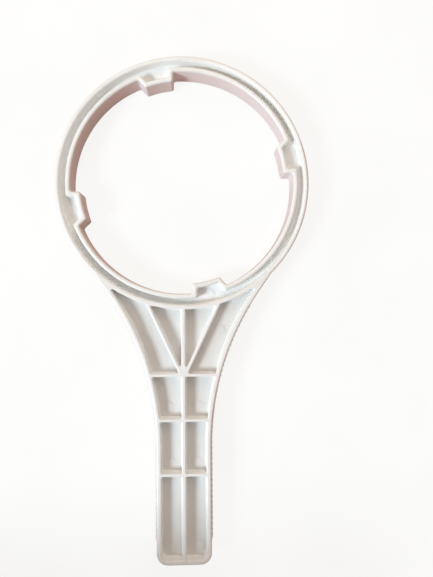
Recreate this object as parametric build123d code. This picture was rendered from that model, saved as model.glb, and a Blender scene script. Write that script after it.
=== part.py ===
from build123d import *
import os
from math import atan2, cos, degrees, radians, sin

# Housing wrench, one plastic moulding: a ring with four inward lugs on a flared, ribbed handle.
# Its section is an I or an H: a thin web in the middle of the depth, with the same walls and ribs
# on both faces. The front half is drawn upwards from the middle plane, and the back half mirrors it.
# When written out, the origin is the ring's centre in the plane of the back crests. +Z points out of
# the front, and the handle runs along -Y. Millimetres and degrees.

# Section
depth = 12.0                # from the back crests to the front crests
half_depth = depth / 2
web_thickness = 2.4
web_top = web_thickness / 2         # above the middle plane
wall_thickness = 2.3
crest_radius = 1.0          # rounding along the top of the ring's walls and of the outline
rib_crest_radius = 0.6      # rounding along the top of the handle's pockets
foot_radius = 0.5           # where the walls and ribs meet the web

# Ring
ring_outer_radius = 59.8
ring_inner_radius = 52.5
lug_count = 4
lug_tip_radius = 47.9       # from the ring's centre to a lug's tip
lug_steep_offset = 4.4      # from the lug's own quarter line to its steep flank
lug_slope_place = 21.0      # angle round from the quarter line to where the sloped flank meets the tip
lug_slope_tilt = 42.3       # the sloped flank's angle to the quarter line
lug_corner_radius = 1.25

# Handle
handle_half_width = 12.8
handle_end = -178.3
handle_corner_radius = 5.3
flare_start = -124.0        # where the straight sides begin to flare towards the ring
flare_radius = 126.0
flare_angle = 34.5          # the side's slope where the flare becomes straight
flare_tail = 25.0           # the straight part, which runs on inside the ring

# Ribs
centre_rib_thickness = 2.0
cross_rib_thickness = 1.5
cross_rib_places = {"upper": -90.5, "middle": -111.5, "lower": -136.8}
diagonal_rib_thickness = 1.6
diagonal_foot = (1.3, -89.6)
diagonal_head = (18.3, -53.8)       # inside the ring's wall
pocket_corner_radius = 0.6
smallest_pocket = 2.0               # smaller gaps, where the ribs meet, are filled

# Grip ridges, small half-round bars along both sides of the handle
ridge_pitch = 2.5
ridge_width = 2.2
ridge_height = 0.55
ridges_from = -165.5
ridges_to = -57.0
ridge_reach = 5.1           # to each side of the middle plane

# Round pads on the web's front face, where the ejectors pressed
mark_radius = 2.4
mark_height = 0.2
lug_mark_radius = 54.3      # from the ring's centre to a mark
lug_mark_place = 13.3       # angle round from the lug's quarter line
handle_marks = [(17.4, -70.0), (7.2, -106.1), (6.1, -132.4), (7.0, -171.5)]

# Where the moulding is divided into its named features, just clear of its own faces
split_gap = 0.05
split_height = web_top + 0.02
foot_gap = foot_radius + split_gap
corner_gap = pocket_corner_radius + split_gap
channel_middle = (ring_inner_radius + ring_outer_radius) / 2
lug_slice_angles = (3.0, 26.0)      # round from the quarter line, past the lug's rounded corners
end_wall_reach = 6.0
root_corner = (-22.0, -62.0)        # the side walls' roots lie outside and above this

beyond = 4 * ring_outer_radius      # longer than anything that it cuts
tangent_limit = 5.0                 # sides that turn less than this meet without a corner


def prism(face, bottom, top):
    return Pos(0, 0, bottom) * extrude(face, top - bottom)


def polygon(points):
    return make_face(Polyline(points, close=True))


def polar(radius, angle):
    return Vector(radius * cos(radians(angle)), radius * sin(radians(angle)))


def mirrored(shape):
    return mirror(shape, Plane.YZ)


def turned(shape, quarter):
    return Rot(0, 0, quarter * 360 / lug_count) * shape


def is_corner(block, edge):
    """True where two sides of the block meet at an angle along this edge."""
    sides = [face for face in block.faces() if any(edge.is_same(rim) for rim in face.edges())]
    normals = [face.normal_at(edge.center()) for face in sides]
    return len(normals) == 2 and normals[0].get_angle(normals[1]) > tangent_limit


def uprights_rounded(block, radius, keep=lambda edge: True):
    """The block with its upright corners rounded."""
    edges = [e for e in block.edges().filter_by(Axis.Z) if keep(e) and is_corner(block, e)]
    return fillet(edges, radius)


# Plan shapes

def lug_plan(inset):
    """One lug between its flanks and its tip, drawn smaller by inset on each side."""
    corner = polar(lug_tip_radius, 90 + lug_slope_place)
    slope = polar(ring_outer_radius - lug_tip_radius, 90 + lug_slope_tilt)
    across = polar(inset, lug_slope_tilt)
    high = corner + slope + across
    low = corner - slope + across
    steep = -lug_steep_offset - inset
    wedge = polygon([(steep, low.Y), (steep, high.Y), (high.X, high.Y), (low.X, low.Y)])
    return wedge - Circle(lug_tip_radius + inset)


def hole_plan(inset):
    """The ring's opening with its lugs or, with an inset, the inner wall's other face."""
    face = Rot(0, 0, 90 + lug_mark_place) * Circle(ring_inner_radius + inset)
    for quarter in range(lug_count):
        face -= turned(lug_plan(inset), quarter)
    return face


def side_curve(inset):
    """The handle's right side from its end: straight, flared on an arc, then straight again."""
    centre = Vector(handle_half_width + flare_radius, flare_start)
    turns = (180, 180 - flare_angle / 2, 180 - flare_angle)
    start, middle, stop = (centre + polar(flare_radius + inset, turn) for turn in turns)
    tail = stop + polar(flare_tail, 90 - flare_angle)
    foot = (handle_half_width - inset, handle_end + inset)
    return [Line(foot, start), ThreePointArc(start, middle, stop), Line(stop, tail)]


def handle_plan(inset):
    """The handle from inside the ring down to its square end, drawn smaller by inset."""
    right = Curve() + side_curve(inset)
    left = mirrored(right)
    ends = [Line(left @ 0, right @ 0), Line(left @ 1, right @ 1)]
    return make_face(Curve() + right.edges() + left.edges() + ends)


def bar(start, stop, thickness):
    """A straight rib."""
    run = Vector(*stop) - Vector(*start)
    turn = degrees(atan2(run.Y, run.X))
    return Pos(Vector(*start) + run / 2) * Rot(0, 0, turn) * Rectangle(run.length, thickness)


def centre_rib_plan(gap=0.0):
    return bar((0, handle_end), (0, -ring_inner_radius), centre_rib_thickness + 2 * gap)


def cross_rib_plan(place, gap=0.0):
    return bar((-ring_inner_radius, place), (ring_inner_radius, place), cross_rib_thickness + 2 * gap)


def diagonal_rib_plan():
    return bar(diagonal_foot, diagonal_head, diagonal_rib_thickness)


def pocket_plans():
    """The handle's open pockets between its walls and ribs."""
    area = handle_plan(wall_thickness) - Circle(ring_outer_radius)
    area -= [centre_rib_plan(), diagonal_rib_plan(), mirrored(diagonal_rib_plan())]
    area -= [cross_rib_plan(place) for place in cross_rib_places.values()]
    return [face for face in area.faces() if face.area > smallest_pocket]


# The front half, from the middle plane up

def at_handle_end(edge):
    return edge.center().Y < handle_end + wall_thickness + 0.1 and abs(edge.center().X) > handle_corner_radius


def outside():
    """Everything inside the outer outline."""
    handle = uprights_rounded(prism(handle_plan(0), 0, half_depth), handle_corner_radius, at_handle_end)
    return prism(Circle(ring_outer_radius), 0, half_depth) + handle


def opening():
    """The ring's opening with the lugs standing into it."""
    return uprights_rounded(prism(hole_plan(0), 0, half_depth), lug_corner_radius)


def foot_rounded(hollow):
    """The hollow with its bottom edges rounded, which fills the corners between the walls and the web."""
    return fillet(hollow.edges().group_by(Axis.Z)[0], foot_radius)


def channel():
    """The open groove between the ring's two walls, with its four lug pockets."""
    plan = Circle(ring_outer_radius - wall_thickness) - hole_plan(wall_thickness)
    return foot_rounded(uprights_rounded(prism(plan, web_top, half_depth), lug_corner_radius))


def pocket(face):
    """One open pocket of the handle, with rounded corners."""
    block = prism(face, web_top, half_depth)
    if face.bounding_box().min.Y < handle_end + 2 * wall_thickness:
        block = uprights_rounded(block, handle_corner_radius - wall_thickness, at_handle_end)
    return foot_rounded(uprights_rounded(block, pocket_corner_radius))


def sharp_rims(block):
    """The crest's edges that still drop straight down a wall's face."""
    uprights = [face for face in block.faces() if abs(face.normal_at(face.center()).Z) < 0.01]
    sides = [rim for face in uprights for rim in face.edges()]
    return [edge for edge in block.edges().group_by(Axis.Z)[-1] if any(edge.is_same(side) for side in sides)]


def front_half():
    """The moulding in front of its middle plane, in one solid with rounded crests and corners."""
    block = fillet(sharp_rims(outside() - opening() - channel()), crest_radius)
    for face in pocket_plans():
        block -= pocket(face)
    return fillet(sharp_rims(block), rib_crest_radius)


def marks():
    """Low round pads, one in each lug's pocket and a pair in each length of handle."""
    disc = prism(Circle(mark_radius), 0, web_top + mark_height)
    lug_mark = Pos(polar(lug_mark_radius, 90 + lug_mark_place)) * disc
    on_lugs = [turned(lug_mark, quarter) for quarter in range(lug_count)]
    on_handle = [Pos(side * x, y) * disc for x, y in handle_marks for side in (-1, 1)]
    return on_lugs + on_handle


# Named features

def tall(plan):
    return prism(plan, -depth, 2 * depth)


def slice_plan(angles):
    """The part of the plane between the first and last of these angles, round from the quarter line."""
    return polygon([(0, 0)] + [polar(beyond, 90 + angle) for angle in angles])


def inner_wall_slice(angles, quarter):
    return turned(tall(slice_plan(angles) & Circle(channel_middle)), quarter)


def left_half():
    return tall(Pos(-beyond / 2, 0) * Rectangle(beyond, 2 * beyond))


def left_side():
    """The handle's left wall, with the filled corner where it leaves the ring."""
    core = handle_plan(wall_thickness + foot_gap)
    root = Pos(root_corner[0] - beyond / 2, root_corner[1] + beyond / 2) * Rectangle(beyond, beyond)
    return left_half() - tall(core - root)


def regions():
    """Each feature in front of the web, and the space that it takes from what the ones before it left."""
    near, far = lug_slice_angles
    quarters = range(lug_count)
    found = {f"lug_{q + 1}": inner_wall_slice((near, far), q) for q in quarters}
    for q in quarters:
        found[f"ring_inner_wall_{q + 1}"] = inner_wall_slice((near, (near + far + 90) / 2, near + 90), q)
    found["ring_outer_wall"] = tall(Circle(ring_outer_radius + corner_gap))
    found["handle_end_wall"] = tall(Pos(0, handle_end) * Rectangle(beyond, 2 * end_wall_reach))
    found["handle_wall_left"] = left_side()
    found["handle_wall_right"] = mirrored(left_side())
    found["centre_rib"] = tall(centre_rib_plan(foot_gap))
    for name, place in cross_rib_places.items():
        found[f"cross_rib_{name}"] = tall(cross_rib_plan(place, corner_gap))
    found["diagonal_rib_left"] = left_half()
    found["diagonal_rib_right"] = mirrored(left_half())
    return found


def grip_ridges():
    """Half-round bars along the handle's right side, each standing on the wall's outer face."""
    side = Wire(side_curve(0))
    radius = ((ridge_width / 2) ** 2 + ridge_height ** 2) / (2 * ridge_height)
    distance = ridges_from - handle_end
    place = side.position_at(distance, position_mode=PositionMode.LENGTH)
    bars = []
    while place.Y < ridges_to:
        along = side.tangent_at(distance, position_mode=PositionMode.LENGTH)
        centre = place + Vector(along.Y, -along.X) * (ridge_height - radius)
        bars.append(prism(Pos(centre) * Circle(radius) - handle_plan(0), -ridge_reach, ridge_reach))
        distance += ridge_pitch
        place = side.position_at(distance, position_mode=PositionMode.LENGTH)
    return Compound(children=bars)


def both_faces(front):
    """The front half of a feature, and its mirror image behind the web."""
    return Compound(children=[*front.solids(), *mirror(front, Plane.XY).solids()])


def moulding():
    """Every named feature's solids."""
    below = prism(Rectangle(beyond, 2 * beyond), -depth, split_height)
    ring = tall(Circle(ring_outer_radius + split_gap))
    rest = front_half()
    plate = rest & below
    web = plate + mirror(plate, Plane.XY) + marks()
    rest -= below
    nodes = {"ring_web": web & ring, "handle_web": web - ring}
    for name, region in regions().items():
        nodes[name] = both_faces(rest & region)
        rest -= region
    nodes["grip_ridges_right"] = grip_ridges()
    nodes["grip_ridges_left"] = mirrored(nodes["grip_ridges_right"])
    return nodes


os.makedirs("parts", exist_ok=True)
for name, shape in moulding().items():
    solids = [Pos(0, 0, half_depth) * solid for solid in shape.solids()]
    export_step(solids[0] if len(solids) == 1 else Compound(children=solids), f"parts/{name}.step")
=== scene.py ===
import bpy
from math import radians
from mathutils import Matrix, Vector


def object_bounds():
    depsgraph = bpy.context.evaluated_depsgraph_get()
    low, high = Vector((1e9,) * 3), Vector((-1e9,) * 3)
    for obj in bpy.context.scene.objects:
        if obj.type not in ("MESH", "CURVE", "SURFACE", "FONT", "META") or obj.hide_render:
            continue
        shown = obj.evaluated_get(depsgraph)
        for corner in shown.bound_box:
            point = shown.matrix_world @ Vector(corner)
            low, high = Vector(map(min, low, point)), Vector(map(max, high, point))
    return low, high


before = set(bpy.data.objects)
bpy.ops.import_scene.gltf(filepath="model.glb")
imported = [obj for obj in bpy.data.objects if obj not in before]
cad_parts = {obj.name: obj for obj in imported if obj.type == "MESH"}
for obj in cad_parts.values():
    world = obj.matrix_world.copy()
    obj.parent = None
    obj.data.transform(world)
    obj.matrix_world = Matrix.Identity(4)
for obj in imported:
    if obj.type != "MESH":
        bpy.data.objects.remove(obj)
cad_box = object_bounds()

MM = 0.001
HALF_DEPTH = 6 * MM

# Moulded polypropylene, natural white, what handling leaves on it, and a darker white painted as shade on the
# handle's floors
WHITE = "#F8F8F5"
WHITE_COOL = "#F4F6F6"
WHITE_WARM = "#F5F2EC"
# painted shade: the handle's pocket floors get a darker white than the same plastic has elsewhere
HANDLE_FLOOR_PAINTED_SHADE = "#E1E1DF"
SPECK = "#6E655C"
SCUFF = "#B9B4AC"
GRIME = "#CDC6BA"
TABLE = "#FFFFFE"
TABLE_BOUNCE = "#BE887E"


def linear(code):
    """An sRGB hex colour as linear red, green, blue and alpha."""
    values = [int(code[place:place + 2], 16) / 255 for place in (1, 3, 5)]
    return tuple(v / 12.92 if v <= 0.04045 else ((v + 0.055) / 1.055) ** 2.4 for v in values) + (1.0,)


def add(tree, kind, links=None, **settings):
    """A shader node with its settings, its socket values and the sockets that feed it."""
    node = tree.nodes.new(kind)
    for name, value in settings.items():
        setattr(node, name, value)
    for socket, source in (links or {}).items():
        if isinstance(source, bpy.types.NodeSocket):
            tree.links.new(source, node.inputs[socket])
        else:
            node.inputs[socket].default_value = source
    return node


def place_of(tree, stretch=(1, 1, 1)):
    """Real position in metres, stretched for a pattern that runs one way."""
    coordinates = add(tree, "ShaderNodeTexCoord")
    return add(tree, "ShaderNodeMapping", {"Vector": coordinates.outputs["Object"], "Scale": stretch}).outputs[0]


def ramp(tree, source, low, high, start=0.0, stop=1.0):
    """source carried from low..high to start..stop."""
    settings = {"Value": source, "From Min": low, "From Max": high, "To Min": start, "To Max": stop}
    return add(tree, "ShaderNodeMapRange", settings, interpolation_type="SMOOTHSTEP").outputs[0]


def noise(tree, where, size_mm, detail=2.0, distortion=0.0):
    """Cloudy noise whose lumps are about size_mm across."""
    settings = {"Vector": where, "Scale": 1 / (size_mm * MM), "Detail": detail, "Distortion": distortion}
    return add(tree, "ShaderNodeTexNoise", settings).outputs[0]


def blended(tree, amount, under, over):
    """over laid on under by amount, each a colour or a socket."""
    return add(tree, "ShaderNodeMix", {"Factor": amount, 6: under, 7: over}, data_type="RGBA").outputs[2]


def times(tree, first, second):
    return add(tree, "ShaderNodeMath", {0: first, 1: second}, operation="MULTIPLY").outputs[0]


# ------------------------------------------------------------------ the white plastic

def moulded_polypropylene(name, grain_mm, grain_depth_mm, roughness, lines=None, crest=0.0, seed=0.0, web=None):
    """Natural white polypropylene as it leaves a steel mould.

    It is slightly see-through, so light goes in a millimetre and the edges glow softly. The grain is the
    mould's own surface: spark-eroded and matt on the floors, stoned along the draw on the walls. Flow clouds,
    a few dark specks of burnt resin and rubbed, greyer crests are what sets a used tool apart from new stock.
    """
    material = bpy.data.materials.new(name)
    material.use_nodes = True
    tree = material.node_tree
    tree.nodes.clear()
    here = add(tree, "ShaderNodeVectorMath", {0: place_of(tree), 1: (seed, seed / 2, seed / 3)}).outputs[0]

    flow = noise(tree, here, 38, 2.0, 1.2)
    colour = blended(tree, ramp(tree, flow, 0.35, 0.65, 0, 0.3), linear(WHITE), linear(WHITE_COOL))
    clouds = noise(tree, here, 9, 3.0)
    colour = blended(tree, ramp(tree, clouds, 0.5, 0.8, 0, 0.3), colour, linear(WHITE_WARM))

    # Burnt resin, a few specks about a third of a millimetre across
    cells = add(tree, "ShaderNodeTexVoronoi", {"Vector": here, "Scale": 1 / (11 * MM)})
    speck = ramp(tree, cells.outputs["Distance"], 0.022, 0.034, 1, 0)
    chosen = ramp(tree, cells.outputs["Color"], 0.62, 0.66)
    colour = blended(tree, times(tree, times(tree, speck, chosen), 0.75), colour, linear(SPECK))

    # Hairline scuffs a few millimetres long, one way and then the other
    scratches = None
    for turn, reach in ((24, 5.0), (-58, 6.5)):
        cut = place_of(tree, (1, 0.045, 1))
        cut = add(tree, "ShaderNodeVectorRotate", {"Vector": cut, "Angle": radians(turn)}, rotation_type="Z_AXIS")
        streak = ramp(tree, noise(tree, cut.outputs[0], 0.55, 1.0), 0.715, 0.75)
        patch = ramp(tree, noise(tree, here, reach * 4, 1.0), 0.56, 0.66)
        found = times(tree, streak, patch)
        scratches = found if scratches is None else add(
            tree, "ShaderNodeMath", {0: scratches, 1: found}, operation="MAXIMUM").outputs[0]
    colour = blended(tree, times(tree, scratches, 0.2), colour, linear(SCUFF))

    upright = add(tree, "ShaderNodeSeparateXYZ", {"Vector": place_of(tree)}).outputs["Z"]
    above = add(tree, "ShaderNodeMath", {0: upright, 1: HALF_DEPTH}, operation="SUBTRACT").outputs[0]
    height = add(tree, "ShaderNodeMath", {0: above}, operation="ABSOLUTE").outputs[0]
    if web:
        # The web's two faces take their own colour: on the handle a darker white, painted shade for the pocket
        # floors; both webs are also greyer in soft patches
        face = ramp(tree, height, 1.14 * MM, 1.18 * MM)
        colour = blended(tree, face, colour, linear(web))
        # greyer in soft noise patches on the web faces
        web_patches = times(tree, face, ramp(tree, noise(tree, here, 6, 4.0), 0.45, 0.75, 0, 0.15))
        colour = blended(tree, web_patches, colour, linear(GRIME))

    grain = noise(tree, here, grain_mm, 2.0)
    bump = add(tree, "ShaderNodeBump", {"Height": grain, "Distance": grain_depth_mm * MM, "Strength": 0.6})
    if lines:
        drawn = noise(tree, place_of(tree, (1, 1, lines)), 0.5, 2.0)
        bump = add(tree, "ShaderNodeBump", {"Height": drawn, "Distance": 0.004 * MM, "Strength": 0.5,
                                            "Normal": bump.outputs[0]})
    waves = noise(tree, here, 14, 1.0)
    bump = add(tree, "ShaderNodeBump", {"Height": waves, "Distance": 0.03 * MM, "Strength": 0.5,
                                        "Normal": bump.outputs[0]})
    bump = add(tree, "ShaderNodeBump", {"Height": scratches, "Distance": 0.003 * MM, "Strength": 0.5,
                                        "Normal": bump.outputs[0]}, invert=True)

    gloss = ramp(tree, clouds, 0.3, 0.7, roughness - 0.06, roughness + 0.06)
    if crest:
        top = ramp(tree, height, 5.2 * MM, 5.9 * MM)
        rubbed = times(tree, top, ramp(tree, noise(tree, here, 7, 3.0), 0.4, 0.62))
        colour = blended(tree, times(tree, rubbed, crest), colour, linear(GRIME))
        gloss = add(tree, "ShaderNodeMath", {0: gloss, 1: times(tree, rubbed, -0.1)}, operation="ADD").outputs[0]

    shader = add(tree, "ShaderNodeBsdfPrincipled", {
        "Base Color": colour, "Roughness": gloss, "Normal": bump.outputs[0], "IOR": 1.49,
        "Subsurface Weight": 0.1, "Subsurface Radius": (1.0, 0.85, 0.7), "Subsurface Scale": 0.8 * MM,
    })
    add(tree, "ShaderNodeOutputMaterial", {"Surface": shader.outputs[0]})
    return material


def dress(material, *names):
    """Give these features the material, keeping their shape and place."""
    for name in names:
        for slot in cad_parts[name].material_slots:
            slot.link = "OBJECT"
            slot.material = material


def dress_moulding():
    ring_web = moulded_polypropylene("ring_web_polypropylene", 0.35, 0.012, 0.5, web=WHITE_COOL)
    # the handle web's faces are painted darker, as painted shade on the pocket floors
    handle_web = moulded_polypropylene("handle_web_polypropylene", 0.35, 0.012, 0.52, web=HANDLE_FLOOR_PAINTED_SHADE)
    ring_walls = moulded_polypropylene("ring_wall_polypropylene", 0.5, 0.005, 0.42, 0.06, 0.1, 0.013)
    lugs = moulded_polypropylene("lug_polypropylene", 0.5, 0.006, 0.42, 0.06, 0.14, 0.029)
    side_walls = moulded_polypropylene("side_wall_polypropylene", 0.5, 0.006, 0.42, 0.06, 0.08, 0.041)
    ribs = moulded_polypropylene("rib_polypropylene", 0.6, 0.005, 0.42, 0.06, 0.08, 0.057)
    grips = moulded_polypropylene("grip_polypropylene", 0.4, 0.02, 0.36, None, 0.12, 0.071)
    quarters = range(1, 5)
    dress(ring_web, "ring_web")
    dress(handle_web, "handle_web")
    dress(ring_walls, "ring_outer_wall", *(f"ring_inner_wall_{q}" for q in quarters))
    dress(lugs, *(f"lug_{q}" for q in quarters))
    dress(side_walls, "handle_wall_left", "handle_wall_right", "handle_end_wall")
    dress(ribs, "centre_rib", "diagonal_rib_left", "diagonal_rib_right",
          *(f"cross_rib_{place}" for place in ("upper", "middle", "lower")))
    dress(grips, "grip_ridges_left", "grip_ridges_right")


# ------------------------------------------------------------------ table, light and camera

def table():
    """A plain pale table, which looks white and sends a faint rosy light back up at the tool."""
    half = 3.0
    mesh = bpy.data.meshes.new("table")
    corners = [(-half, -half, 0), (half, -half, 0), (half, half, 0), (-half, half, 0)]
    mesh.from_pydata(corners, [], [(0, 1, 2, 3)])
    top = bpy.data.objects.new("table", mesh)
    bpy.context.collection.objects.link(top)
    top.location.z = cad_box[0][2] - 0.05 * MM

    material = bpy.data.materials.new("pale_table")
    material.use_nodes = True
    tree = material.node_tree
    tree.nodes.clear()
    seen = add(tree, "ShaderNodeLightPath").outputs["Is Camera Ray"]
    mottle = ramp(tree, noise(tree, place_of(tree), 60, 3.0), 0.3, 0.7, 0, 0.3)
    shown = blended(tree, mottle, linear(TABLE), linear(WHITE))
    colour = blended(tree, seen, linear(TABLE_BOUNCE), shown)
    lit = add(tree, "ShaderNodeBsdfDiffuse", {"Color": colour})
    glow = add(tree, "ShaderNodeEmission", {"Color": shown, "Strength": 1.0})
    shader = add(tree, "ShaderNodeMixShader", {0: times(tree, seen, 0.88), 1: lit.outputs[0], 2: glow.outputs[0]})
    add(tree, "ShaderNodeOutputMaterial", {"Surface": shader.outputs[0]})
    mesh.materials.append(material)


def card():
    """A dark card over the left of the handle's end, out of sight, which takes the light off it softly."""
    left, right, low, high, height = -0.30, -0.01, -0.42, -0.202, 0.10
    mesh = bpy.data.meshes.new("shading_card")
    corners = [(left, low, height), (right, low, height), (right, high, height), (left, high, height)]
    mesh.from_pydata(corners, [], [(0, 1, 2, 3)])
    shade = bpy.data.objects.new("shading_card", mesh)
    bpy.context.collection.objects.link(shade)
    shade.visible_camera = False
    material = bpy.data.materials.new("black_card")
    material.use_nodes = True
    tree = material.node_tree
    tree.nodes.clear()
    tone = blended(tree, noise(tree, place_of(tree), 40), linear("#17120F"), linear("#241C18"))
    shader = add(tree, "ShaderNodeBsdfDiffuse", {"Color": tone})
    add(tree, "ShaderNodeOutputMaterial", {"Surface": shader.outputs[0]})
    mesh.materials.append(material)


def soft_box(name, place, size, watts, colour, aim):
    """A round soft light at place, turned to face aim."""
    lamp = bpy.data.lights.new(name, "AREA")
    lamp.shape = "DISK"
    lamp.size = size
    lamp.energy = watts
    lamp.color = linear(colour)[:3]
    light = bpy.data.objects.new(name, lamp)
    light.location = place
    light.rotation_euler = (Vector(aim) - Vector(place)).to_track_quat("-Z", "Y").to_euler()
    bpy.context.collection.objects.link(light)


def soft_spot(name, place, radius, watts, colour, aim, cone):
    """A round soft light at place, whose beam fades out evenly over a cone of that many degrees round aim."""
    lamp = bpy.data.lights.new(name, "SPOT")
    lamp.shadow_soft_size = radius
    lamp.spot_size = radians(cone)
    lamp.spot_blend = 1.0
    lamp.energy = watts
    lamp.color = linear(colour)[:3]
    light = bpy.data.objects.new(name, lamp)
    light.location = place
    light.rotation_euler = (Vector(aim) - Vector(place)).to_track_quat("-Z", "Y").to_euler()
    bpy.context.collection.objects.link(light)


def studio():
    """One soft cool light high on the left of the handle, and an even, warmer light all round."""
    soft_spot("window", (-0.91, -0.47, 0.80), 0.18, 55.0, "#E6F4FF", (0, -0.02, 0), 60.0)
    soft_box("reflector", (0.08, 0.38, 0.42), 0.5, 1.1, "#FFEBD6", (0, 0, 0))
    card()
    world = bpy.data.worlds.new("room")
    world.use_nodes = True
    tree = world.node_tree
    tree.nodes.clear()
    seen = add(tree, "ShaderNodeLightPath").outputs["Is Camera Ray"]
    room = add(tree, "ShaderNodeBackground", {"Color": linear("#FFEEE2"), "Strength": 0.37})
    wall = add(tree, "ShaderNodeBackground", {"Color": linear(TABLE), "Strength": 0.96})
    around = add(tree, "ShaderNodeMixShader", {0: seen, 1: room.outputs[0], 2: wall.outputs[0]})
    add(tree, "ShaderNodeOutputWorld", {"Surface": around.outputs[0]})
    bpy.context.scene.world = world
    bpy.context.scene.view_settings.view_transform = "Standard"
    bpy.context.scene.view_settings.look = "None"


def camera():
    """Almost straight above the handle's root, tipped a little towards the ring's right."""
    lens = bpy.data.cameras.new("camera")
    lens.sensor_width = 36.0
    lens.lens = 30.57
    stand = bpy.data.objects.new("camera", lens)
    place = Vector((7.78, -54.75, 241.34)) * MM
    aim = Vector((16.06, -49.88, 0.0)) * MM
    back = (place - aim).normalized()
    up = Vector((0.00566, 0.99978, 0.02037))
    right = up.cross(back).normalized()
    up = back.cross(right)
    stand.matrix_world = Matrix.Translation(place) @ Matrix((right, up, back)).transposed().to_4x4()
    bpy.context.collection.objects.link(stand)
    bpy.context.scene.camera = stand


dress_moulding()
table()
studio()
camera()
